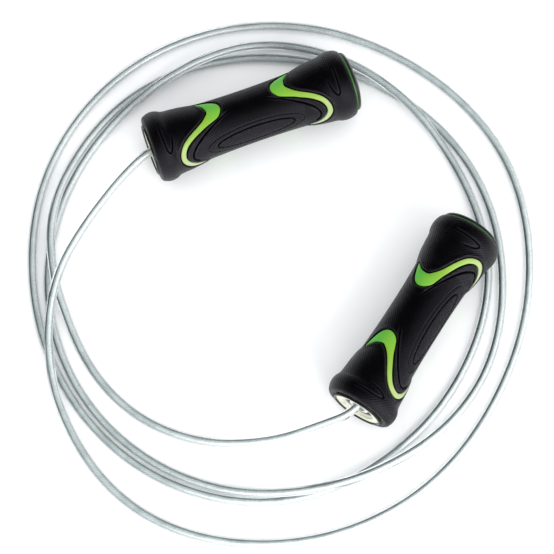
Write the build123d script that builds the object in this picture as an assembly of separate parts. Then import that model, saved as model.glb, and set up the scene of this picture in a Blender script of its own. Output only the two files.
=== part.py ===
"""Jump rope: a plastic-coated steel cable between two ball-bearing handles.

The rope lies as it is put down on a floor (Z = 0): the cable in a loose coil of about three and a
half turns, and a handle on its side at each end of the cable. X and Y run along the floor. The
origin is at the floor, under the middle of the box around the two handles. All sizes are in mm.
"""
import os
from math import cos, pi, radians, sin, tan

from build123d import *

os.makedirs("parts", exist_ok=True)

# ---- driving dimensions ----------------------------------------------------------------------

CABLE_R = 2.6             # steel strand in its clear jacket
GRIP_R = 21.2             # both rims of the grip, on which the handle lies
WAIST_R = 16.0            # middle of the grip
HANDLE_LENGTH = 128.0     # from the face at the cable end to the top of the end cap

COIL_CENTRE = (-21.2, -18.1)
TURN_STEP = 30            # degrees between the reaches below
FIRST_REACH = 210         # direction of each turn's first reach, degrees from +X
# How far each turn reaches from the middle of the coil, every 30 degrees, anticlockwise.
TURN_REACH = (
    (149, 162, 159, 152, 144, 145, 152, 155, 160, 161, 155, 146),
    (142, 140, 135, 125, 120, 121, 123, 133, 147, 141, 138, 137),
    (136, 134, 131, 130, 132, 129, 131, 133, 138, 144, 143, 135),
)
# The turns lie two deep where one crosses another: middle and half width of each place, degrees.
CROSSINGS = ((60, 12), (113, 14), (178, 17), (285, 18))

# Each handle: where its cable end stands on the floor, and the direction of its axis.
HANDLES = {
    "a": {"foot": (-97.6, 53.3), "turn": 20.3},
    "b": {"foot": (21.8, -104.4), "turn": 57.6},
}

# Route of the cable, out of each handle's sleeve along its axis and then to the coil.
ROUTE_START = 20.5        # inside the handle, where the cable's cut end begins
ROUTE_TURN = -2.0         # the route's first corner, just outside the handle
CABLE_CUT = 27.0          # where the cable ends, behind its stop
LEAD_A = (
    (-115.1, 36.3, 20.2), (-126.2, 21.9, 18.8), (-138.2, 4.9, 16.6), (-148.5, -13.6, 14.6),
    (-154.2, -33.1, 13.0), (-156.2, -53.1, 9.8),
)
LEAD_B = (
    (0.5, -113.0, 17.8), (-20, -118.4, 10.4), (-40, -120, 4.8), (-62, -119.6, 2.6),
    (-86, -113.4, 2.6), (-108.5, -100.8, 2.6), (-127, -82, 2.6), (-140, -60, 2.6),
    (-148.2, -37.1, 2.7), (-151.3, -23, 3.4),
)

RUN_SHARE = 0.45          # part of the shorter run that an arc may take up
RUNNING_GAP = 0.08        # between the balls and their races
CLEAR = 0.5               # between the coil and the handles that turn above it

# Ball bearing, 8 x 22 x 7
BORE_R = 4.0
OUTSIDE_R = 11.0
BEARING_WIDTH = 7.0
BEARING_X = 1.2           # front face
PITCH_R = 7.5
BALL_R = 1.95
BALL_COUNT = 7
INNER_LAND_R = 6.0
OUTER_LAND_R = 9.2
BALL_X = BEARING_X + BEARING_WIDTH / 2

# Shells of the handle
CORE_R = 13.6
CORE_BORE_R = 11.2
HOUSING_R = 12.6
FLANGE_X = -0.2           # cream front flange of the bearing housing
FLANGE_R = 14.0
COLLAR_X = -1.1           # black collar round the flange
COLLAR_R = 15.2
LIP_X = 0.9               # where the grip's front lip turns in over the core
LIP_R = 15.4
CORE_FRONT_R = 16.9
SOCKET_R = 15.5           # bore that takes the end cap's skirt
BEAD_X = 123.6            # end of the grip's rear bead
RING_X = 124.2            # rear face of the green ring that shows between the grip and the cap
RING_R = 17.3             # a little lower than the grip and the cap beside it
CAP_X = 124.3             # underside of the cap's rim
CAP_R = 17.8
SLEEVE_R = 3.92
SLEEVE_BORE_R = 2.75

# Bayonet of the end cap
LUG_COUNT = 3
LUG_ARC = 12.0
LUG_X = 113.0
LUG_WIDTH = 2.4
LUG_R = 16.3
UNLOCK_TURN = 45.0

# ---- helpers ---------------------------------------------------------------------------------


def turned(*edges):
    """A solid of revolution about X from the edges of a closed outline in X (axial) and Y (radius)."""
    return revolve(make_face(Wire(list(edges))), Axis.X)


def turned_outline(points, arc=360.0, start=0.0):
    """The same from the outline's corners, through part of a turn if an arc is given."""
    face = make_face(Polyline(*points, close=True))
    return revolve(face, Axis.X, revolution_arc=arc).rotate(Axis.X, start)


def tube(x0, x1, r0, r1):
    return turned_outline(((x0, r0), (x1, r0), (x1, r1), (x0, r1)))


def rod(x0, x1, radius):
    return turned_outline(((x0, 0), (x1, 0), (x1, radius), (x0, radius)))


def placed(shape, handle):
    """A shape from a handle's own frame, X along its axis, to where that handle lies."""
    foot = handle["foot"]
    return Location((foot[0], foot[1], GRIP_R), (0, 0, handle["turn"])) * shape


# ---- the handle's pieces, with X along its axis from the cable end ----------------------------


def grip_envelope():
    """Outside of the grip, filled to its axis: two beaded rims, convex flares and a slim waist."""
    return turned(
        Line((LIP_X, 0), (LIP_X, LIP_R)),
        ThreePointArc((LIP_X, LIP_R), (0.1, 18.2), (2.2, 20.3)),
        ThreePointArc((2.2, 20.3), (6.6, GRIP_R), (11.4, 19.7)),
        ThreePointArc((11.4, 19.7), (13.0, 19.3), (14.6, 19.1)),
        ThreePointArc((14.6, 19.1), (23.8, 18.2), (32.0, 16.7)),
        ThreePointArc((32.0, 16.7), (62.0, WAIST_R), (92.0, 16.7)),
        ThreePointArc((92.0, 16.7), (99.8, 18.6), (108.6, 19.6)),
        ThreePointArc((108.6, 19.6), (110.2, 19.8), (111.8, 20.2)),
        ThreePointArc((111.8, 20.2), (117.2, GRIP_R), (121.2, 20.4)),
        ThreePointArc((121.2, 20.4), (122.7, 19.5), (BEAD_X, 18.2)),
        Line((BEAD_X, 18.2), (BEAD_X, 0)),
        Line((BEAD_X, 0), (LIP_X, 0)),
    )


CORE_OUTSIDE = (
    (LIP_X, CORE_FRONT_R), (7.0, CORE_FRONT_R), (12.0, CORE_R), (100.0, CORE_R),
    (109.0, 17.1), (BEAD_X, 17.1), (BEAD_X, RING_R), (RING_X, RING_R),
)


def grip():
    """Soft rubber moulded over the core."""
    core_filled = turned_outline(((LIP_X, 0),) + CORE_OUTSIDE + ((RING_X, 0),))
    return grip_envelope() - core_filled


def core():
    """Green tube that carries the bearing housing at one end and the cap's bayonet at the other."""
    body = turned_outline(
        CORE_OUTSIDE
        + (
            (RING_X, SOCKET_R), (111.5, SOCKET_R), (108.0, CORE_BORE_R), (9.8, CORE_BORE_R),
            (9.8, HOUSING_R), (2.0, HOUSING_R), (2.0, FLANGE_R), (3.2, FLANGE_R),
            (3.2, COLLAR_R), (LIP_X, COLLAR_R),
        )
    )
    play = 0.1
    groove_r = LUG_R + play
    for lug in range(LUG_COUNT):
        at = lug * 360 / LUG_COUNT
        lock = turned_outline(
            (
                (LUG_X - play, SOCKET_R - 1), (LUG_X + LUG_WIDTH + play, SOCKET_R - 1),
                (LUG_X + LUG_WIDTH + play, groove_r), (LUG_X - play, groove_r),
            ),
            arc=LUG_ARC + UNLOCK_TURN + 1,
            start=at - (LUG_ARC + 1) / 2,
        )
        entry = turned_outline(
            ((LUG_X, SOCKET_R - 1), (125, SOCKET_R - 1), (125, groove_r), (LUG_X, groove_r)),
            arc=LUG_ARC + 1,
            start=at + UNLOCK_TURN - (LUG_ARC + 1) / 2,
        )
        body -= lock
        body -= entry
    return body


def end_collar():
    """Black ring that stands proud round the bearing housing."""
    ring = tube(COLLAR_X, 3.2, FLANGE_R, COLLAR_R)
    return fillet(ring.edges().group_by(Axis.X)[0], 0.3)


def bearing_housing():
    """Flanged cup for the bearing, with a groove for its retaining ring."""
    return turned_outline(
        (
            (FLANGE_X, 10.2), (FLANGE_X, FLANGE_R), (2.0, FLANGE_R), (2.0, HOUSING_R),
            (9.8, HOUSING_R), (9.8, OUTSIDE_R), (9.2, OUTSIDE_R), (9.2, 11.8), (8.3, 11.8),
            (8.3, OUTSIDE_R), (BEARING_X, OUTSIDE_R), (BEARING_X, 10.2),
        )
    )


def race(inner, outer):
    """A bearing ring with its groove cut by the balls' path."""
    ring = tube(BEARING_X, BEARING_X + BEARING_WIDTH, inner, outer)
    ring = chamfer(ring.edges(), 0.25)
    path = Plane.XY * Pos(BALL_X, PITCH_R) * Circle(BALL_R + RUNNING_GAP)
    return ring - revolve(path, Axis.X)


def ball_places():
    for ball in range(BALL_COUNT):
        angle = 2 * pi * ball / BALL_COUNT
        yield Pos(BALL_X, PITCH_R * cos(angle), PITCH_R * sin(angle))


def bearing_balls():
    return Compound(children=[place * Sphere(BALL_R) for place in ball_places()])


def bearing_cage():
    """Crown cage: a ring in front of the balls with a pocket for each."""
    crown = tube(BALL_X - 0.4, BALL_X + 2.8, 6.7, 8.4)
    for place in ball_places():
        crown -= place * Sphere(BALL_R + 0.1)
    return mirror(crown, about=Plane.YZ.offset(BALL_X))


def retaining_ring():
    """Open spring ring that holds the bearing in its housing."""
    gap = 36.0
    return turned_outline(
        ((8.35, 9.8), (9.15, 9.8), (9.15, 11.7), (8.35, 11.7)), arc=360 - gap, start=gap / 2
    )


def swivel_sleeve():
    """Bell-mouthed sleeve that turns with the cable in the bearing's bore, flanged behind it."""
    rear = BEARING_X + BEARING_WIDTH
    return turned_outline(
        (
            (0.8, 3.68), (0.8, 3.8), (1.0, SLEEVE_R), (rear, SLEEVE_R), (rear, 5.6),
            (rear + 1.3, 5.6), (rear + 1.3, SLEEVE_BORE_R), (7.0, SLEEVE_BORE_R), (3.5, 3.08),
        )
    )


def thrust_washer():
    return tube(9.5, 10.4, 2.9, 7.0)


def cable_stop():
    """Collar clamped on the cable behind the washer, so the cable can't pull through."""
    collar = chamfer(rod(10.4, 22.4, 6.0).edges(), 0.5) - rod(10, 23, CABLE_R)
    return collar - Pos(16.4, 0, 4.5) * Cylinder(2.0, 5.0)


def stop_screw():
    """Socket-head grub screw through the side of the cable stop."""
    screw = Pos(16.4, 0, CABLE_R + 1.6) * Cylinder(1.95, 3.2)
    socket = Pos(16.4, 0, CABLE_R + 1.8) * extrude(RegularPolygon(1.1, 6), 2)
    return screw - socket


def cable_end():
    """Cut end of the cable, inside its stop and a little past it."""
    return rod(ROUTE_START, CABLE_CUT, CABLE_R)


def end_cap():
    """Slightly domed cap with a skirt and bayonet lugs, flat in the middle."""
    cap = turned(
        Line((112.6, 13.6), (112.6, SOCKET_R - 0.1)),
        Line((112.6, SOCKET_R - 0.1), (CAP_X, SOCKET_R - 0.1)),
        Line((CAP_X, SOCKET_R - 0.1), (CAP_X, CAP_R)),
        Line((CAP_X, CAP_R), (124.9, CAP_R)),
        ThreePointArc((124.9, CAP_R), (125.7, 17.3), (126.2, 16.4)),
        ThreePointArc((126.2, 16.4), (127.4, 12.2), (HANDLE_LENGTH, 8.0)),
        Line((HANDLE_LENGTH, 8.0), (HANDLE_LENGTH, 0)),
        Line((HANDLE_LENGTH, 0), (125.4, 0)),
        Line((125.4, 0), (125.4, 13.6)),
        Line((125.4, 13.6), (112.6, 13.6)),
    )
    for lug in range(LUG_COUNT):
        cap += turned_outline(
            ((LUG_X, 14.5), (LUG_X + LUG_WIDTH, 14.5), (LUG_X + LUG_WIDTH, LUG_R), (LUG_X, LUG_R)),
            arc=LUG_ARC,
            start=lug * 360 / LUG_COUNT - LUG_ARC / 2,
        )
    return cap


HANDLE_PIECES = {
    "grip": grip,
    "core": core,
    "end_collar": end_collar,
    "bearing_housing": bearing_housing,
    "bearing_outer_ring": lambda: race(OUTER_LAND_R, OUTSIDE_R),
    "bearing_inner_ring": lambda: race(BORE_R, INNER_LAND_R),
    "bearing_balls": bearing_balls,
    "bearing_cage": bearing_cage,
    "retaining_ring": retaining_ring,
    "swivel_sleeve": swivel_sleeve,
    "thrust_washer": thrust_washer,
    "cable_stop": cable_stop,
    "stop_screw": stop_screw,
    "cable_end": cable_end,
    "end_cap": end_cap,
}

# ---- the cable -------------------------------------------------------------------------------


def lead(handle, points):
    """Tube of the cable out of a handle, along straight runs joined by tangent arcs."""
    route = [placed(Vertex(x, 0, 0), handle).center() for x in (ROUTE_START, ROUTE_TURN)]
    route += [Vector(*point) for point in points]
    runs = [b - a for a, b in zip(route, route[1:])]
    radii = []
    for before, after in zip(runs, runs[1:]):
        half_turn = radians(before.get_angle(after)) / 2
        radii.append(RUN_SHARE * min(before.length, after.length) / tan(half_turn))
    path = FilletPolyline(*route, radius=radii)
    section = Plane(origin=path @ 0, z_dir=path % 0) * Circle(CABLE_R)
    solid = sweep(section, path=path)
    section_volume = pi * CABLE_R**2 * path.length
    print("lead radii", [round(radius) for radius in radii])
    print("lead length", round(path.length, 1), "volume ratio", round(solid.volume / section_volume, 4))
    return solid


def on_floor(reach, degrees):
    angle = radians(degrees)
    return (COIL_CENTRE[0] + reach * cos(angle), COIL_CENTRE[1] + reach * sin(angle))


def coil_slab(height):
    """Everything between the innermost and the outermost turn, from the floor to a height."""
    outlines = []
    for pick, margin in ((max, CABLE_R), (min, -CABLE_R)):
        points = []
        for index, reaches in enumerate(zip(*TURN_REACH)):
            points.append(on_floor(pick(reaches) + margin, FIRST_REACH + index * TURN_STEP))
        outlines.append(make_face(Spline(*points, periodic=True)))
    return extrude(outlines[0] - outlines[1], height)


def coil():
    """The loose turns as one closed ring: one cable thick, two where turns cross."""
    solid = coil_slab(2 * CABLE_R)
    deep = coil_slab(4 * CABLE_R)
    for middle, half_width in CROSSINGS:
        corners = [COIL_CENTRE]
        corners += [on_floor(250, middle + side * half_width) for side in (-1, 1)]
        solid += deep & extrude(make_face(Polyline(*corners, close=True)), 4 * CABLE_R)
    for handle in HANDLES.values():
        solid -= placed(rod(-4, HANDLE_LENGTH + 1, GRIP_R + CLEAR), handle)
    return solid


# ---- write the parts -------------------------------------------------------------------------

boxes = []
for suffix, handle in HANDLES.items():
    for name, make in HANDLE_PIECES.items():
        shape = placed(make(), handle)
        export_step(shape, f"parts/{name}_{suffix}.step")
        if name in ("grip", "end_cap", "end_collar", "swivel_sleeve"):
            boxes.append(shape.bounding_box())

export_step(lead(HANDLES["a"], LEAD_A), "parts/cable_lead_a.step")
export_step(lead(HANDLES["b"], LEAD_B), "parts/cable_lead_b.step")
export_step(coil(), "parts/cable_coil.step")

low = [min(tuple(box.min)[axis] for box in boxes) for axis in range(3)]
high = [max(tuple(box.max)[axis] for box in boxes) for axis in range(3)]
print("box around the handles", [round(v, 2) for v in low], [round(v, 2) for v in high])
print("its middle", [round((a + b) / 2, 2) for a, b in zip(low, high)])
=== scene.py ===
from math import atan2, cos, hypot, pi, radians, sin

import bpy
import numpy as np
from mathutils import Matrix, Vector


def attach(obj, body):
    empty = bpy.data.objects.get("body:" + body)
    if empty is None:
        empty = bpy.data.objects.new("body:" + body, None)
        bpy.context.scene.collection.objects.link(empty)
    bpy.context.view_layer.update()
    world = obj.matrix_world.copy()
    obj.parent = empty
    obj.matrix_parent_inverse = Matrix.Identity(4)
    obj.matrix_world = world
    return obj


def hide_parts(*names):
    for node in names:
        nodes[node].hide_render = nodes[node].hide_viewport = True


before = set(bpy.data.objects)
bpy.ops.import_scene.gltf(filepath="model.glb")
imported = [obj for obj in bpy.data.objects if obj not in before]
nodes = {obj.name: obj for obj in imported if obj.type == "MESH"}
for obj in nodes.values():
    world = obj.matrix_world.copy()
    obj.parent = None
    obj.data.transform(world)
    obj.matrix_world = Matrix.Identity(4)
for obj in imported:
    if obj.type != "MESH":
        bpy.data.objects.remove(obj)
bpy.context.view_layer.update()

# Looks of the jump rope: the cable's turns, the two moulded grips with their green inlays, and the
# materials of the CAD parts. Sizes are in mm, in the CAD frame, where nothing else is said.

MM = 0.001
FAR = 1e9      # further than anything, where a search for the smallest distance starts
TINY = 1e-6    # keeps a division from being by nothing


# ---- camera --------------------------------------------------------------------------------------

CAMERA_AT = Vector((-9.5, -379.0, 1086.1)) * MM
CAMERA_TO = Vector((-23.8, -19.0, 0.0)) * MM
VIEW_ANGLE = 16.19    # degrees
CLIP_START = 0.01     # metres

camera = bpy.data.objects.new("camera", bpy.data.cameras.new("camera"))
bpy.context.scene.collection.objects.link(camera)
forward = (CAMERA_TO - CAMERA_AT).normalized()
right = forward.cross(Vector((0, 1, 0))).normalized()
up = right.cross(forward)
camera.matrix_world = Matrix.Translation(CAMERA_AT) @ Matrix((right, up, -forward)).transposed().to_4x4()
camera.data.angle = radians(VIEW_ANGLE)
camera.data.clip_start = CLIP_START
bpy.context.scene.camera = camera


# ---- where things are ----------------------------------------------------------------------------

# Each handle: where its cable end stands on the floor, the direction of its axis in degrees, and
# how far round its axis the moulding is turned.
HANDLES = {
    "a": {"foot": (-97.6, 53.3), "turn": 20.3, "roll": 0.0},
    "b": {"foot": (21.8, -104.4), "turn": 57.6, "roll": 6.0},
}
AXIS_HEIGHT = 21.2


def on_handle(handle, along, out, around):
    """Points in metres: mm along the axis from the cable end, mm out from it, degrees from the top."""
    facts = HANDLES[handle]
    turn = radians(facts["turn"])
    along, out = np.asarray(along, float), np.asarray(out, float)
    angle = np.radians(np.asarray(around, float) + facts["roll"])
    aside = out * np.sin(angle)
    x = facts["foot"][0] + along * cos(turn) - aside * sin(turn)
    y = facts["foot"][1] + along * sin(turn) + aside * cos(turn)
    z = AXIS_HEIGHT + out * np.cos(angle)
    return np.stack(np.broadcast_arrays(x, y, z), axis=-1) * MM


# ---- pieces --------------------------------------------------------------------------------------


def mesh_piece(name, points, faces, material, body):
    """A smooth mesh piece that moves with a CAD body."""
    mesh = bpy.data.meshes.new(name)
    mesh.from_pydata([tuple(p) for p in points], [], [tuple(map(int, f)) for f in faces])
    mesh.polygons.foreach_set("use_smooth", [True] * len(mesh.polygons))
    mesh.update()
    piece = bpy.data.objects.new(name, mesh)
    bpy.context.scene.collection.objects.link(piece)
    mesh.materials.append(material)
    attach(piece, body)
    return piece


def store(piece, name, values):
    """Keeps one number per point of a piece for its material to read."""
    attribute = piece.data.attributes.new(name, "FLOAT", "POINT")
    attribute.data.foreach_set("value", np.asarray(values, np.float32).ravel())


def grid_faces(rows, columns, closed_rows=False):
    """Quads of a grid of points, `columns` to a row, each row closed on itself."""
    faces = []
    for i in range(rows if closed_rows else rows - 1):
        a, b = i * columns, (i + 1) % rows * columns
        for j in range(columns):
            k = (j + 1) % columns
            faces.append((a + j, b + j, b + k, a + k))
    return faces


def capped_faces(rows, columns):
    """The same, with one flat face over the first row and one over the last."""
    last = (rows - 1) * columns
    caps = [tuple(range(columns)), tuple(range(last + columns - 1, last - 1, -1))]
    return grid_faces(rows, columns) + caps


def catmull_rom(points, per_span):
    """A smooth line through the points, `per_span` steps from each to the next."""
    p = np.asarray(points, float)
    p = np.vstack([2 * p[0] - p[1], p, 2 * p[-1] - p[-2]])
    t = np.arange(per_span)[:, None] / per_span
    spans = [
        0.5 * (2 * b + (c - a) * t + (2 * a - 5 * b + 4 * c - d) * t**2 + (3 * b - a - 3 * c + d) * t**3)
        for a, b, c, d in zip(p, p[1:], p[2:], p[3:])
    ]
    return np.vstack([*spans, p[-2:-1]])


def arc_through(a, b, c, steps):
    """Points of the arc from a through b to c, without its last."""
    (ax, ay), (bx, by), (cx, cy) = a, b, c
    d = 2 * (ax * (by - cy) + bx * (cy - ay) + cx * (ay - by))
    squares = [x * x + y * y for x, y in (a, b, c)]
    ox = (squares[0] * (by - cy) + squares[1] * (cy - ay) + squares[2] * (ay - by)) / d
    oy = (squares[0] * (cx - bx) + squares[1] * (ax - cx) + squares[2] * (bx - ax)) / d
    start, middle, end = (atan2(y - oy, x - ox) for x, y in (a, b, c))
    sweep = (end - start) % (2 * pi)
    if (middle - start) % (2 * pi) > sweep:
        sweep -= 2 * pi
    angles = start + sweep * np.arange(steps) / steps
    radius = hypot(ax - ox, ay - oy)
    return np.stack([ox + radius * np.cos(angles), oy + radius * np.sin(angles)], axis=-1)


def smooth(value, low, high):
    """0 below low, 1 above high, and an S between them."""
    t = np.clip((value - low) / (high - low), 0, 1)
    return t * t * (3 - 2 * t)


def bell(off, peak, width):
    """A bell curve: peak in the middle, and next to nothing two widths away from it."""
    return peak * np.exp(-((off / width) ** 2))


# ---- material nodes ------------------------------------------------------------------------------

# The Mix node's sockets for colours: its two inputs and its result.
COLOUR_A, COLOUR_B, COLOUR_OUT = 6, 7, 2
MOULD_GRAIN = 0.25      # size of the fine grain of moulded plastic, mm
MOULD_DEPTH = 0.012     # and its depth, mm
METAL_GRAIN = 9000.0    # scale of the noise that makes the fine grain of machined metal
METAL_DEPTH = 0.002     # and its depth, mm


def linear(red, green, blue):
    """A colour as a screen shows it, 0 to 255, as Blender's linear numbers."""
    values = [c / 255 for c in (red, green, blue)]
    return tuple(c / 12.92 if c < 0.04045 else ((c + 0.055) / 1.055) ** 2.4 for c in values) + (1.0,)


class Paint:
    """A procedural material: a Principled shader and the nodes that feed it."""

    def __init__(self, name, **sockets):
        self.material = bpy.data.materials.new(name)
        self.material.use_nodes = True
        self.tree = self.material.node_tree
        self.shader = self.tree.nodes["Principled BSDF"]
        for socket, value in sockets.items():
            self.shader.inputs[socket.replace("_", " ")].default_value = value
        self.place = self.add("TexCoord").outputs["Object"]
        self.normal = None

    def add(self, kind, links=(), **values):
        """A node, with its inputs or settings set and the linked inputs joined."""
        node = self.tree.nodes.new("ShaderNode" + kind)
        for key, value in values.items():
            socket = key.replace("_", " ")
            if socket in node.inputs:
                node.inputs[socket].default_value = value
            else:
                setattr(node, key, value)
        for key, source in dict(links).items():
            self.tree.links.new(source, node.inputs[key])
        return node

    def link(self, source, socket):
        self.tree.links.new(source, self.shader.inputs[socket])

    def noise(self, size, detail=4.0, roughness=0.55):
        """Noise with features of about `size` mm."""
        node = self.add(
            "TexNoise", {"Vector": self.place},
            Scale=1 / (size * MM), Detail=detail, Roughness=roughness,
        )
        return node.outputs["Fac"]

    def spread(self, source, low, high, bottom=0.0, top=1.0):
        """The source's low to high as bottom to top."""
        node = self.add(
            "MapRange", {"Value": source}, From_Min=low, From_Max=high, To_Min=bottom, To_Max=top
        )
        return node.outputs["Result"]

    def product(self, a, b):
        """Two outputs multiplied, or an output and a number."""
        node = self.add("Math", operation="MULTIPLY")
        for socket, value in zip(node.inputs, (a, b)):
            if isinstance(value, (int, float)):
                socket.default_value = value
            else:
                self.tree.links.new(value, socket)
        return node.outputs[0]

    def ramp(self, source, stops):
        """A colour ramp: stops are (place, colour)."""
        node = self.add("ValToRGB", {"Fac": source})
        elements = node.color_ramp.elements
        while len(elements) < len(stops):
            elements.new(0.5)
        for element, (place, colour) in zip(elements, stops):
            element.position, element.color = place, colour
        return node.outputs["Color"]

    def mix(self, factor, a, b):
        """Colour a where factor is 0 and b where it is 1."""
        node = self.add("Mix", {"Factor": factor}, data_type="RGBA")
        for socket, value in ((node.inputs[COLOUR_A], a), (node.inputs[COLOUR_B], b)):
            if isinstance(value, tuple):
                socket.default_value = value
            else:
                self.tree.links.new(value, socket)
        return node.outputs[COLOUR_OUT]

    def attribute(self, name):
        """The numbers that store() kept under a name."""
        return self.add("Attribute", attribute_name=name).outputs["Fac"]

    def bump(self, height, depth):
        """Adds relief of `depth` mm where height goes from 0 to 1."""
        links = {"Height": height}
        if self.normal is not None:
            links["Normal"] = self.normal
        node = self.add("Bump", links, Distance=depth * MM)
        self.normal = node.outputs["Normal"]
        self.tree.links.new(self.normal, self.shader.inputs["Normal"])

    def worn_edges(self, low=0.52, high=0.6):
        """Near 1 on sharp outer edges, broken up by noise."""
        sharp = self.spread(self.add("NewGeometry").outputs["Pointiness"], low, high)
        return self.product(sharp, self.spread(self.noise(2.0), 0.4, 0.7))


def moulded(name, colour, lighter, roughness):
    """Moulded plastic: a slightly uneven colour, a fine grain, dull patches and worn edges."""
    paint = Paint(name)
    patches = paint.spread(paint.noise(14.0, 5.0), 0.35, 0.7)
    base = paint.mix(patches, colour, lighter)
    base = paint.mix(paint.worn_edges(), base, lighter)
    paint.link(base, "Base Color")
    scuffs = paint.noise(3.0, 6.0, 0.65)
    paint.link(paint.spread(scuffs, 0.3, 0.75, roughness - 0.06, roughness + 0.1), "Roughness")
    paint.bump(paint.noise(MOULD_GRAIN, 2.0), MOULD_DEPTH)
    return paint


def machined(name, colour, darker, roughness, metallic=1.0):
    """Turned or ground metal: a fine grain and a few stains."""
    paint = Paint(name, Metallic=metallic)
    stains = paint.spread(paint.noise(5.0, 5.0, 0.6), 0.45, 0.75)
    paint.link(paint.mix(stains, colour, darker), "Base Color")
    noise = paint.add("TexNoise", {"Vector": paint.place}, Scale=METAL_GRAIN, Detail=2.0)
    grain = noise.outputs["Fac"]
    paint.link(paint.spread(grain, 0.3, 0.7, roughness - 0.05, roughness + 0.1), "Roughness")
    paint.bump(grain, METAL_DEPTH)
    return paint


# ---- cable ---------------------------------------------------------------------------------------

CABLE_R = 2.6
COIL_CENTRE = (-21.2, -18.1)
FIRST_REACH = 210     # direction of the first reach, degrees from +X
REACH_STEP = 30       # degrees from one reach to the next
REACH_SPAN = 30       # steps of the smooth line between them
# How far the line reaches from the middle of the coil, a turn to a row, as in the CAD.
TURN_REACH = (
    149, 162, 159, 152, 144, 145, 152, 155, 160, 161, 155, 146,
    142, 140, 135, 125, 120, 121, 123, 133, 147, 141, 138, 137,
    136, 134, 131, 130, 132, 129, 131, 133, 138, 144, 143, 135,
    124,
)
# Places on each handle's axis, mm from its face: the cable's cut end, where its lead starts in the
# CAD, the last control point before it turns aside, and the mouth of the sleeve that it leaves.
CABLE_CUT = 27.0
ROUTE_START = 20.5
ROUTE_TURN = -2.0
SLEEVE_MOUTH = 0.8
# The two leads from the handles to the coil, as in the CAD.
LEAD_A = (
    (-115.1, 36.3, 20.2), (-126.2, 21.9, 18.8), (-138.2, 4.9, 16.6), (-148.5, -13.6, 14.6),
    (-154.2, -33.1, 13.0), (-156.2, -53.1, 9.8), (-155.0, -71.0, 8.0),
)
LEAD_B = (
    (0.5, -113.0, 17.8), (-20, -118.4, 10.4), (-40, -120, 4.8), (-62, -119.6, 2.6),
    (-86, -113.4, 2.6), (-108.5, -100.8, 2.6), (-127, -82, 2.6), (-140, -60, 2.6),
    (-148.6, -38, 4.0), (-154.0, -23, 7.2),
)
COIL_STEP = 10        # degrees between the coil's control points
COIL_ENDS = (210, 1250)    # degrees along the coil where the leads meet it
COIL_RISE = ((210, 4.2), (220, 2.9), (230, CABLE_R))   # where the lead from handle a comes down
# Where a turn passes over another: degrees along the coil, half the flat top, half the whole hump.
HUMPS = ((780, 7, 21), (833, 8, 23), (1005, 9, 29), (1253, 11, 25))


def reach(angle):
    """Distance of the line from the middle of the coil, degrees along the coil from +X."""
    place = (angle - FIRST_REACH) / REACH_STEP
    line = catmull_rom([(r, r) for r in TURN_REACH], REACH_SPAN)[:, 0]
    return np.interp(place, np.arange(len(line)) / REACH_SPAN, line)


def coil_height(angle):
    """Height of the line's middle over the floor, degrees along the coil."""
    rise = np.interp(angle, *zip(*COIL_RISE))
    for middle, flat, whole in HUMPS:
        off = abs(angle - middle)
        rise += 2 * CABLE_R * (1 - smooth(off, flat, whole))
    return rise


def cable_route():
    """Control points of the cable's line, from inside one handle to inside the other."""
    def axis_points(handle):
        return [on_handle(handle, x, 0, 0) / MM for x in (CABLE_CUT, ROUTE_START, ROUTE_TURN)]

    # The line touches the sides of its control polygon in the middle, so the corners lie further out.
    coil = []
    for angle in range(COIL_ENDS[0], COIL_ENDS[1] + 1, COIL_STEP):
        out = reach(angle) / cos(radians(COIL_STEP / 2))
        x = COIL_CENTRE[0] + out * cos(radians(angle))
        y = COIL_CENTRE[1] + out * sin(radians(angle))
        coil.append((x, y, coil_height(angle)))
    return [*axis_points("a"), *LEAD_A, *coil, *reversed(LEAD_B), *reversed(axis_points("b"))]


def cable_curve():
    """The cable as one smooth curve."""
    data = bpy.data.curves.new("cable", "CURVE")
    data.dimensions = "3D"
    data.resolution_u = 12
    spline = data.splines.new("NURBS")
    route = cable_route()
    spline.points.add(len(route) - 1)
    for point, (x, y, z) in zip(spline.points, route):
        point.co = (x * MM, y * MM, z * MM, 1)
    spline.order_u = 3
    spline.use_endpoint_u = True
    piece = bpy.data.objects.new("cable", data)
    bpy.context.scene.collection.objects.link(piece)
    return piece


# The strand follows the curve's own points, which are taken before the curve gets its thickness.
cable = cable_curve()
bpy.context.view_layer.update()
bare = bpy.data.meshes.new_from_object(cable)
cable_line = np.array([v.co for v in bare.vertices], float)
bpy.data.meshes.remove(bare)
cable.data.bevel_depth = CABLE_R * MM
cable.data.bevel_resolution = 8
cable.data.use_fill_caps = True


def even_line(line, step):
    """The line at even steps of about `step` metres, its directions, and its places from the start."""
    along = np.concatenate([[0], np.cumsum(np.linalg.norm(np.diff(line, axis=0), axis=1))])
    places = np.linspace(0, along[-1], int(along[-1] / step) + 1)
    points = np.stack([np.interp(places, along, line[:, k]) for k in range(3)], axis=-1)
    ahead = np.gradient(points, axis=0)
    return points, ahead / np.linalg.norm(ahead, axis=1)[:, None], places


STRAND_R = 1.35       # outside of the steel strand
WIRES = 6             # wires that show round the strand
WIRE_SIDES = 4        # points across each of them
WIRE_RELIEF = 0.12    # depth between two wires
LAY = 15.0            # length in which a wire goes once round
STRAND_STEP = 0.75
DARK_SIDE = (-0.77, 0.64, 0.0)    # the way that the strand's painted dark flank faces
OTHER_FLANK = 0.2     # how dark the painted shade is on the flank that faces the other way, as a share
EDGE_SHADE = 0.5      # how dark the painted dark edge is at least


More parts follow.
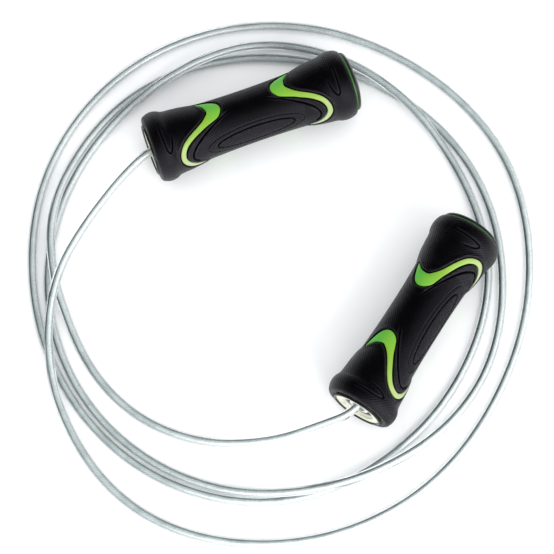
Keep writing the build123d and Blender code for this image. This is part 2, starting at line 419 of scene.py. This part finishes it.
def strand_mesh(material):
    """The twisted steel strand inside the jacket."""
    points, ahead, places = even_line(cable_line, STRAND_STEP * MM)
    side = np.cross(ahead, (0, 0, 1.0))
    side /= np.linalg.norm(side, axis=1)[:, None]
    over = np.cross(side, ahead)
    count = WIRES * WIRE_SIDES
    spoke = np.arange(count) * 2 * pi / count
    lobe = np.abs(np.sin(spoke * WIRES / 2))
    radius = (STRAND_R - WIRE_RELIEF * (1 - lobe)) * MM
    angle = spoke[None, :] + (places / (LAY * MM) * 2 * pi)[:, None]
    ring = (
        points[:, None, :]
        + (radius * np.cos(angle))[..., None] * side[:, None, :]
        + (radius * np.sin(angle))[..., None] * over[:, None, :]
    )
    faces = capped_faces(len(points), count)
    piece = mesh_piece("cable_strand", ring.reshape(-1, 3), faces, material, "rope")
    # Painted light on the strand: painted shade along one flank, a painted highlight along the other, and
    # a thin painted dark edge on both.
    sideways = np.abs(np.cos(angle))
    facing = (np.cos(angle)[..., None] * side[:, None, :]) @ np.array(DARK_SIDE)
    darkness = OTHER_FLANK + (1 - OTHER_FLANK) * smooth(facing, -0.15, 0.6)
    flank_shade = smooth(sideways, 0.3, 0.8) * darkness
    edge = EDGE_SHADE * smooth(sideways, 0.8, 0.97)
    store(piece, "groove", np.tile(1 - lobe, len(points)))
    store(piece, "flank_shade", np.maximum(flank_shade, edge))
    store(piece, "lit", smooth(-facing, 0.0, 0.6))
    return piece


def jacket_paint():
    """Clear soft plastic with a faint blue-green cast and dull patches."""
    paint = Paint("clear_jacket", Base_Color=(0.95, 0.97, 0.97, 1), Transmission_Weight=1.0, IOR=1.45)
    paint.link(paint.spread(paint.noise(6.0, 4.0), 0.3, 0.8, 0.02, 0.16), "Roughness")
    paint.bump(paint.noise(2.5, 2.0), 0.03)
    return paint


def strand_paint():
    """Drawn steel wire with painted light: painted shade down between the wires, a painted highlight on
    one flank and painted shade on the other.
    """
    paint = Paint("steel_strand", Metallic=0.2)
    stains = paint.spread(paint.noise(9.0, 4.0), 0.4, 0.7)
    steel = paint.mix(stains, (0.6, 0.66, 0.66, 1), (0.4, 0.46, 0.46, 1))
    # Painted shade down between the wires.
    groove_shade = paint.product(paint.attribute("groove"), 0.5)
    steel = paint.mix(groove_shade, steel, (0.25, 0.3, 0.3, 1))
    # Painted highlight along the lit flank.
    steel = paint.mix(paint.attribute("lit"), steel, (0.9, 0.93, 0.93, 1))
    # Painted shade along the flanks, stronger in some patches than in others.
    shade_patches = paint.spread(paint.noise(70.0, 2.0), 0.35, 0.65, 0.55, 1.0)
    shade = paint.product(paint.attribute("flank_shade"), shade_patches)
    paint.link(paint.mix(shade, steel, (0.03, 0.05, 0.055, 1)), "Base Color")
    paint.link(paint.spread(paint.noise(0.8, 2.0), 0.3, 0.7, 0.22, 0.4), "Roughness")
    paint.bump(paint.noise(0.35, 1.0), 0.02)
    return paint


cable.data.materials.append(jacket_paint().material)
cable.visible_shadow = False      # light passes through the clear jacket
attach(cable, "rope")
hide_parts("cable_coil", "cable_lead_a", "cable_lead_b")
strand = strand_mesh(strand_paint().material)
tuple(on_handle("a", SLEEVE_MOUTH, 0, 0))


# ---- grips ---------------------------------------------------------------------------------------

MIRROR_X = 61.0       # the inlays at the two ends mirror each other about this place
MEAN_R = 17.0         # turns degrees round the grip into mm for distances on its surface
FIRST_SIDE = -110.0   # where each of the two equal halves round the grip starts
GRIP_STEP = 0.36      # mm from one row of the grip's points to the next
GRIP_COLUMNS = 290    # points round it

# Outline of the grip as arcs, each from a point through a second to a third: mm along, mm out.
GRIP_ARCS = (
    ((0.9, 15.4), (0.1, 18.2), (2.2, 20.3)), ((2.2, 20.3), (6.6, 21.2), (11.4, 19.7)),
    ((11.4, 19.7), (13.0, 19.3), (14.6, 19.1)), ((14.6, 19.1), (23.8, 18.2), (32.0, 16.7)),
    ((32.0, 16.7), (62.0, 16.0), (92.0, 16.7)), ((92.0, 16.7), (99.8, 18.6), (108.6, 19.6)),
    ((108.6, 19.6), (110.2, 19.8), (111.8, 20.2)), ((111.8, 20.2), (117.2, 21.2), (121.2, 20.4)),
    ((121.2, 20.4), (122.7, 19.5), (123.6, 18.2)),
)
ARC_STEPS = 40
# The wall's inside, from the cap's end back to the cable's.
GRIP_BORE = ((123.5, 17.2), (109.0, 17.2), (100.0, 13.7), (12.0, 13.7), (7.0, 17.0), (1.0, 17.0))
# The relief comes in between the first two places and goes out between the last two.
RELIEF_ENDS = (3, 6, 118.5, 120.5)

# Middle line of the inlay near the cable end: mm along, degrees round, half its width.
INLAY = (
    (32.0, 54, 0.15), (34.5, 48, 1.1), (37.0, 41, 2.1), (39.3, 32, 3.5), (41.0, 20, 4.3),
    (39.8, 8, 3.9), (36.6, -1, 2.8), (33.3, -8, 2.0), (29.4, -15.5, 1.65), (25.3, -22.5, 1.5),
    (21.4, -30, 1.45), (18.2, -38.5, 1.45), (16.1, -50, 1.5), (15.6, -62, 1.55), (17.0, -73, 1.45),
    (19.7, -83, 1.25), (23.3, -91, 0.85), (28.0, -96.5, 0.15),
)
# Across an inlay, all round: share of its half width, and height over the plain grip.
INLAY_SECTION = (
    (-1.0, -0.62), (-0.97, -0.3), (-0.86, -0.1), (-0.6, -0.02), (-0.3, 0.02), (0, 0.04), (0.3, 0.02),
    (0.6, -0.02), (0.86, -0.1), (0.97, -0.3), (1.0, -0.62), (0.9, -1.6), (-0.9, -1.6),
)
CHANNEL_DEPTH = 1.1   # of the channel that an inlay lies in
CHANNEL_RISE = 0.25   # height of the rubber's low rise on both sides of it
CHANNEL_CREST = {"at": 1.25, "width": 0.35}    # where the rise's painted highlight lies, from the inlay

# A line pressed into the rubber: depth and width of its groove, then how far from its middle the
# painted highlight along its edge lies, how strong it is, and how wide it is.
PANEL_PROFILE = {"depth": 0.85, "width": 0.55, "edge_at": 1.0, "edge": 1.0, "edge_width": 0.35}
TONGUE_PROFILE = {"depth": 0.6, "width": 0.42, "edge_at": 0.9, "edge": 0.8, "edge_width": 0.3}
OUTER_RING_PROFILE = {"depth": 0.5, "width": 0.341, "edge_at": 0.55, "edge": 0.7, "edge_width": 0.3}
INNER_RING_PROFILE = {"depth": 0.85, "width": 0.527, "edge_at": 0.85, "edge": 0.7, "edge_width": 0.3}

# Line that follows an inlay on the side of the waist, mirrored like it: mm along, degrees round.
PANEL_LINE = (
    (52, 6), (45, -4), (38.5, -15), (33, -26), (28, -37), (24, -48), (21.5, -60), (21.8, -71), (24.5, -80),
)
PANEL_FADE = (44, 52)      # mm along, between which the line goes out
# Thin tongue-shaped line on each flare, mirrored like the inlays.
TONGUE = (
    (6.9, 16), (7.0, 2), (7.1, -12), (7.3, -25), (7.7, -33), (8.4, -37.3), (9.3, -37.2), (10.4, -34.3),
    (11.2, -28.5), (12.0, -20), (12.6, -10),
)
TONGUE_FADE = (-22, -2)    # degrees round, between which the line goes out
TONGUE_MIDDLE = 9.0        # mm along: the line's arm on the side of the rim is before this
RIM_ARM_LONGER = 20        # degrees by which that arm is the longer

# The lens on each half: its middle, then half the length and half the width of its two rings.
LENS = {"along": 61.0, "around": -64.0}
LENS_RINGS = ((30.0, 8.0, OUTER_RING_PROFILE), (24.0, 5.2, INNER_RING_PROFILE))
LENS_GROUND = (38, 13)     # the same of the low swell that the lens lies on
LENS_SWELL = 0.35          # height of that swell
LENS_SUNK = 0.15           # how far the inner ring's inside lies below it


def meridian():
    """Outline of the grip from its cable end to its cap, mm along and mm out, at even steps."""
    line = np.vstack([arc_through(*arc, ARC_STEPS) for arc in GRIP_ARCS] + [GRIP_ARCS[-1][-1]])
    along = np.concatenate([[0], np.cumsum(np.hypot(*np.diff(line, axis=0).T))])
    places = np.linspace(0, along[-1], int(along[-1] / GRIP_STEP) + 1)
    return np.stack([np.interp(places, along, line[:, k]) for k in (0, 1)], axis=-1)


MERIDIAN = meridian()


def surface_r(along):
    """Radius of the plain grip at a place along it."""
    outer = MERIDIAN[np.argmin(MERIDIAN[:, 0]):]
    return np.interp(along, outer[:, 0], outer[:, 1])


def flat(points):
    """Points given in mm along and degrees round, as mm both ways."""
    p = np.asarray(points, float)
    return np.stack([p[:, 0], np.radians(p[:, 1]) * MEAN_R], axis=-1)


def nearest(u, v, line):
    """Distance of every (u, v) from a line of points."""
    best = np.full(u.shape, FAR)
    for (ax, ay), (bx, by) in zip(line[:-1], line[1:]):
        dx, dy = bx - ax, by - ay
        t = np.clip(((u - ax) * dx + (v - ay) * dy) / (dx * dx + dy * dy), 0, 1)
        best = np.minimum(best, (u - ax - t * dx) ** 2 + (v - ay - t * dy) ** 2)
    return np.sqrt(best)


def inlay_line():
    """The inlay's middle line at small steps: mm along, mm round, half width."""
    stations = np.hstack([flat([s[:2] for s in INLAY]), [[s[2]] for s in INLAY]])
    return catmull_rom(stations, per_span=10)


INLAY_LINE = inlay_line()


def pressed_line(off, depth, width, edge_at, edge, edge_width):
    """Depth of a pressed line `off` mm from its middle, and how strong the painted highlight along its
    edge is there.
    """
    return bell(off, depth, width), bell(off - edge_at, edge, edge_width)


def inlay_channel(u, v):
    """Height of the inlays' channels with the rise beside them, and the painted highlight on that rise's
    crest.
    """
    off = np.full(u.shape, FAR)
    for x, y, width in INLAY_LINE:
        off = np.minimum(off, np.hypot(u - x, v - y) - width)
    # The channel's wall, then the slopes of the rise: where each starts and ends, mm from the inlay.
    channel = -CHANNEL_DEPTH * (1 - smooth(off, 0.15, 0.8))
    rise = CHANNEL_RISE * smooth(off, 0.6, 1.2) * (1 - smooth(off, 1.6, 3.4))
    return channel + rise, bell(off - CHANNEL_CREST["at"], 1.0, CHANNEL_CREST["width"])


def panel_relief(u, v):
    """Height of the line beside each inlay, and the painted highlight along its edge."""
    off = nearest(u, v, catmull_rom(flat(PANEL_LINE), per_span=8))
    depth, edge = pressed_line(off, **PANEL_PROFILE)
    fade = 1 - smooth(u, *PANEL_FADE)
    return -depth * fade, edge * fade


def tongue_relief(u, v):
    """Height of the tongue-shaped lines, and the painted highlight along their edge."""
    off = nearest(u, v, catmull_rom(flat(TONGUE), per_span=6))
    depth, edge = pressed_line(off, **TONGUE_PROFILE)
    longer = np.where(u < TONGUE_MIDDLE, RIM_ARM_LONGER, 0)
    low, high = np.radians(TONGUE_FADE) * MEAN_R
    fade = 1 - smooth(v - np.radians(longer) * MEAN_R, low, high)
    return -depth * fade, edge * fade


def lens_relief(along, v):
    """Height of the lens with its rings and swell, the painted highlight along the rings' edges, and a
    mask of its inside.
    """
    x = along - LENS["along"]
    y = v - radians(LENS["around"]) * MEAN_R
    length, width = LENS_GROUND
    height = LENS_SWELL * (1 - smooth(np.hypot(x / length, y / width), 0.35, 1.0))
    edges = np.zeros(along.shape)
    for length, width, profile in LENS_RINGS:
        ratio = np.hypot(x / length, y / width)
        slope = np.hypot(x / length**2, y / width**2) / np.maximum(ratio, TINY)
        off = (ratio - 1) / np.maximum(slope, TINY)
        depth, edge = pressed_line(np.abs(off), **profile)
        height -= depth
        edges = np.maximum(edges, edge)
    inside = 1 - smooth(off, -0.9, -0.3)    # of the last ring, the inner one
    return height - LENS_SUNK * inside, edges, inside


def relief(along, around):
    """Height of the surface over its plain outline in mm, and masks of the lens, of the painted shade in
    the hollows and of the painted highlight on the crests.
    """
    half = (around - FIRST_SIDE) % 180 + FIRST_SIDE
    v = np.radians(half) * MEAN_R
    u = MIRROR_X - np.abs(along - MIRROR_X)
    channel, crest_highlight = inlay_channel(u, v)
    panel, panel_edge = panel_relief(u, v)
    tongue, tongue_edge = tongue_relief(u, v)
    rings, ring_edges, inside = lens_relief(along, v)
    height = channel + panel + rings + tongue
    # Painted shade: the deeper the hollow, the darker the rubber is painted there.
    hollow_shade = smooth(-height, 0.12, 0.4)
    return height, inside, hollow_shade, np.maximum.reduce([crest_highlight, panel_edge, tongue_edge, ring_edges])


def grip_mesh(handle, material):
    """The rubber grip: its plain outline with the channels, lines and swells pressed into it."""
    around = np.arange(GRIP_COLUMNS) * 360 / GRIP_COLUMNS - 180
    x, r = MERIDIAN[:, 0], MERIDIAN[:, 1]
    tangent = np.gradient(MERIDIAN, axis=0)
    tangent /= np.linalg.norm(tangent, axis=1)[:, None]
    along, angle = np.meshgrid(x, around, indexing="ij")
    height, lens, hollow_shade, crest_highlight = relief(along, angle)
    ends = smooth(x, *RELIEF_ENDS[:2]) * (1 - smooth(x, *RELIEF_ENDS[2:]))
    height = height * ends[:, None]
    out = r[:, None] + height * tangent[:, :1]
    along = along - height * tangent[:, 1:]
    # Both ends turn in to the core, and the wall closes on itself behind them.
    rows = [on_handle(handle, along, out, angle).reshape(-1, 3)]
    for bore_along, bore_out in GRIP_BORE:
        rows.append(on_handle(handle, np.full(GRIP_COLUMNS, bore_along), bore_out, around))
    points = np.vstack(rows)
    faces = grid_faces(len(x) + len(GRIP_BORE), GRIP_COLUMNS, closed_rows=True)
    piece = mesh_piece(
        f"rubber_grip_{handle}", points, faces, material, f"handle_{handle}"
    )
    spare = len(points) - lens.size
    for name, mask in (("lens", lens), ("hollow_shade", hollow_shade), ("crest_highlight", crest_highlight)):
        store(piece, name, np.concatenate([mask.ravel(), np.zeros(spare)]))
    map_surface(piece)
    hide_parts(f"grip_{handle}")
    return piece


def map_surface(piece):
    """A map of the surface in mm, so that the grain keeps its size all over."""
    layer = piece.data.uv_layers.new(name="surface")
    corners = np.zeros(len(piece.data.loops), int)
    piece.data.loops.foreach_get("vertex_index", corners)
    row, column = corners // GRIP_COLUMNS, corners % GRIP_COLUMNS
    # A face on the seam has its far corners in the first column: they count as past the last.
    by_face = column.reshape(-1, 4)
    wrap = (by_face.max(axis=1) - by_face.min(axis=1) > 1)[:, None] & (by_face == 0)
    column = np.where(wrap, GRIP_COLUMNS, by_face).ravel()
    u = row * GRIP_STEP
    v = column * 2 * pi * MEAN_R / GRIP_COLUMNS
    layer.data.foreach_set("uv", np.stack([u, v], axis=-1).ravel())


def inlay_mesh(handle, material):
    """The green inlays: four on a handle, each a crowned strip that lies in its channel."""
    line = INLAY_LINE
    tangent = np.gradient(line[:, :2], axis=0)
    tangent /= np.linalg.norm(tangent, axis=1)[:, None]
    shares, heights = np.array(INLAY_SECTION).T
    count = len(shares)
    points, faces, share_along = [], [], []
    for end in (0, 1):
        for side in (0, 180):
            first = sum(len(p) for p in points)
            width = line[:, 2:3] * shares
            u = line[:, 0:1] - tangent[:, 1:2] * width
            v = line[:, 1:2] + tangent[:, 0:1] * width
            along = 2 * MIRROR_X - u if end else u
            out = surface_r(along) + heights
            strip = on_handle(handle, along, out, np.degrees(v / MEAN_R) + side)
            points.append(strip.reshape(-1, 3))
            for face in capped_faces(len(line), count):
                faces.append(tuple(first + k for k in (face[::-1] if end else face)))
            share_along.append(np.repeat(np.linspace(0, 1, len(line)), count))
    piece = mesh_piece(
        f"green_inlay_{handle}", np.vstack(points), faces, material, f"handle_{handle}"
    )
    store(piece, "along", np.concatenate(share_along))
    return piece


def rubber_paint():
    """Black thermoplastic rubber: a diamond grain, dots in the lens, painted shade in the hollows, painted
    highlights on the crests.
    """
    paint = Paint("grip_rubber", Specular_Tint=(0.88, 0.84, 1.0, 1))
    surface = paint.add("UVMap", uv_map="surface").outputs["UV"]
    patches = paint.spread(paint.noise(11.0, 5.0), 0.35, 0.7)
    base = paint.mix(patches, (0.0008, 0.0007, 0.001, 1), (0.0016, 0.0015, 0.0022, 1))
    base = paint.mix(paint.worn_edges(0.51, 0.56), base, (0.016, 0.0155, 0.02, 1))
    # Painted highlight: the crests of the rises and the edges of the pressed lines are lighter.
    base = paint.mix(paint.attribute("crest_highlight"), base, (0.012, 0.0115, 0.016, 1))
    # Painted shade: the hollows are darker and hardly reflect.
    base = paint.mix(paint.attribute("hollow_shade"), base, (0.0008, 0.0008, 0.001, 1))
    paint.link(base, "Base Color")
    paint.link(paint.spread(paint.attribute("hollow_shade"), 0.0, 1.0, 0.3, 0.02), "Specular IOR Level")
    scuffs = paint.noise(2.4, 6.0, 0.6)
    paint.link(paint.spread(scuffs, 0.3, 0.75, 0.36, 0.48), "Roughness")
    lattice = []
    for turn in (45, -45):
        turned = paint.add("Mapping", {"Vector": surface}, Rotation=(0, 0, radians(turn)))
        wave = paint.add("TexWave", {"Vector": turned.outputs["Vector"]}, Scale=0.25, Detail=0.0)
        lattice.append(wave.outputs["Fac"])
    diamonds = paint.product(*lattice)
    paint.bump(diamonds, 0.17)
    dots = paint.add("TexVoronoi", {"Vector": surface}, Scale=1.6).outputs["Distance"]
    paint.bump(paint.product(dots, paint.attribute("lens")), 0.12)
    paint.bump(paint.noise(0.22, 2.0), 0.02)
    return paint


def inlay_paint():
    """Satin green plastic that pales towards its hooked end."""
    paint = Paint("green_inlay")
    stops = (
        (0.0, linear(98, 178, 52)), (0.16, linear(80, 174, 55)), (0.27, linear(110, 178, 46)),
        (0.4, linear(128, 174, 42)), (0.6, linear(146, 176, 76)), (0.72, linear(158, 178, 110)),
        (1.0, linear(178, 186, 158)),
    )
    shade = paint.ramp(paint.attribute("along"), stops)
    cloud = paint.spread(paint.noise(5.0, 4.0), 0.4, 0.75, 0.0, 0.16)
    paint.link(paint.mix(cloud, shade, linear(52, 128, 36)), "Base Color")
    paint.link(paint.spread(paint.noise(1.6, 5.0), 0.3, 0.7, 0.34, 0.5), "Roughness")
    paint.bump(paint.noise(0.3, 2.0), 0.01)
    return paint


rubber = rubber_paint().material
inlay = inlay_paint().material
for handle in HANDLES:
    grip_mesh(handle, rubber)
    inlay_mesh(handle, inlay)


# ---- the CAD parts that show ---------------------------------------------------------------------


def clear_paint(name, colour, roughness):
    """Milky see-through plastic."""
    paint = Paint(name, Transmission_Weight=0.55, IOR=1.45)
    cloud = paint.spread(paint.noise(4.0), 0.4, 0.7)
    paint.link(paint.mix(cloud, colour, (0.7, 0.74, 0.64, 1)), "Base Color")
    paint.link(paint.spread(paint.noise(1.5), 0.3, 0.7, roughness, roughness + 0.15), "Roughness")
    paint.bump(paint.noise(0.6), 0.01)
    return paint


FINISHES = {
    "core": moulded("core_green", linear(66, 172, 66), linear(96, 190, 62), 0.4),
    "end_collar": moulded("collar_black", (0.009, 0.01, 0.01, 1), (0.02, 0.021, 0.022, 1), 0.3),
    "end_cap": moulded("cap_black", (0.008, 0.008, 0.01, 1), (0.018, 0.018, 0.022, 1), 0.38),
    "bearing_housing": moulded("housing_cream", linear(238, 239, 222), linear(222, 222, 198), 0.34),
    "bearing_outer_ring": machined("bearing_steel", (0.9, 0.88, 0.85, 1), (0.66, 0.63, 0.6, 1), 0.3, 0.3),
    "bearing_balls": machined("ball_chrome", (0.8, 0.8, 0.82, 1), (0.6, 0.6, 0.62, 1), 0.1, 0.8),
    "bearing_cage": moulded("cage_nylon", (0.004, 0.004, 0.004, 1), (0.012, 0.011, 0.01, 1), 0.6),
    "retaining_ring": machined("spring_steel", (0.3, 0.3, 0.31, 1), (0.16, 0.15, 0.15, 1), 0.3),
    "swivel_sleeve": clear_paint("sleeve_clear", (0.88, 0.9, 0.84, 1), 0.12),
    "cable_stop": machined("stop_brass", (0.72, 0.55, 0.25, 1), (0.4, 0.28, 0.12, 1), 0.25),
    "stop_screw": machined("screw_steel", (0.14, 0.14, 0.15, 1), (0.07, 0.07, 0.07, 1), 0.35),
    "cable_end": moulded("cable_end", (0.5, 0.53, 0.53, 1), (0.35, 0.38, 0.38, 1), 0.3),
}
FINISHES["bearing_inner_ring"] = FINISHES["bearing_outer_ring"]
FINISHES["thrust_washer"] = FINISHES["retaining_ring"]

for part, paint in FINISHES.items():
    for handle in HANDLES:
        node = nodes[f"{part}_{handle}"]
        node.data.materials.clear()
        node.data.materials.append(paint.material)


# ---- floor and light -----------------------------------------------------------------------------

FLOOR_HALF = 4.0                   # metres from the middle of the floor to its sides
LIT_PLACE = (-0.02, -0.02, 0.0)    # what the lights face, in metres
SURROUND = (0.97, 0.985, 1.0, 1)
SURROUND_STRENGTH = 1.12


def stage_floor():
    """A plain pale floor."""
    paint = Paint("floor", Roughness=0.9, Specular_IOR_Level=0.1)
    speckle = paint.spread(paint.noise(30.0, 3.0), 0.3, 0.7)
    paint.link(paint.mix(speckle, (0.965, 0.97, 0.97, 1), (0.985, 0.99, 0.99, 1)), "Base Color")
    mesh = bpy.data.meshes.new("floor")
    corners = [(x * FLOOR_HALF, y * FLOOR_HALF, 0) for x, y in ((-1, -1), (1, -1), (1, 1), (-1, 1))]
    mesh.from_pydata(corners, [], [(0, 1, 2, 3)])
    mesh.materials.append(paint.material)
    floor = bpy.data.objects.new("floor", mesh)
    bpy.context.scene.collection.objects.link(floor)


def softbox(name, at, size, power):
    """A square area light that faces the rope, with its place and size in metres."""
    light = bpy.data.lights.new(name, "AREA")
    light.size = size
    light.energy = power
    lamp = bpy.data.objects.new(name, light)
    lamp.location = at
    lamp.rotation_euler = (Vector(LIT_PLACE) - Vector(at)).to_track_quat("-Z", "Y").to_euler()
    bpy.context.scene.collection.objects.link(lamp)


stage_floor()
softbox("key", (1.1, -1.5, 1.0), 1.4, 30)
softbox("front_fill", (-0.5, -1.9, 0.8), 1.0, 7)

world = bpy.data.worlds.new("studio")
world.use_nodes = True
background = world.node_tree.nodes["Background"]
background.inputs["Color"].default_value = SURROUND
background.inputs["Strength"].default_value = SURROUND_STRENGTH
world.cycles_visibility.glossy = False    # reflections show a dark room
bpy.context.scene.world = world
bpy.context.scene.view_settings.view_transform = "Standard"
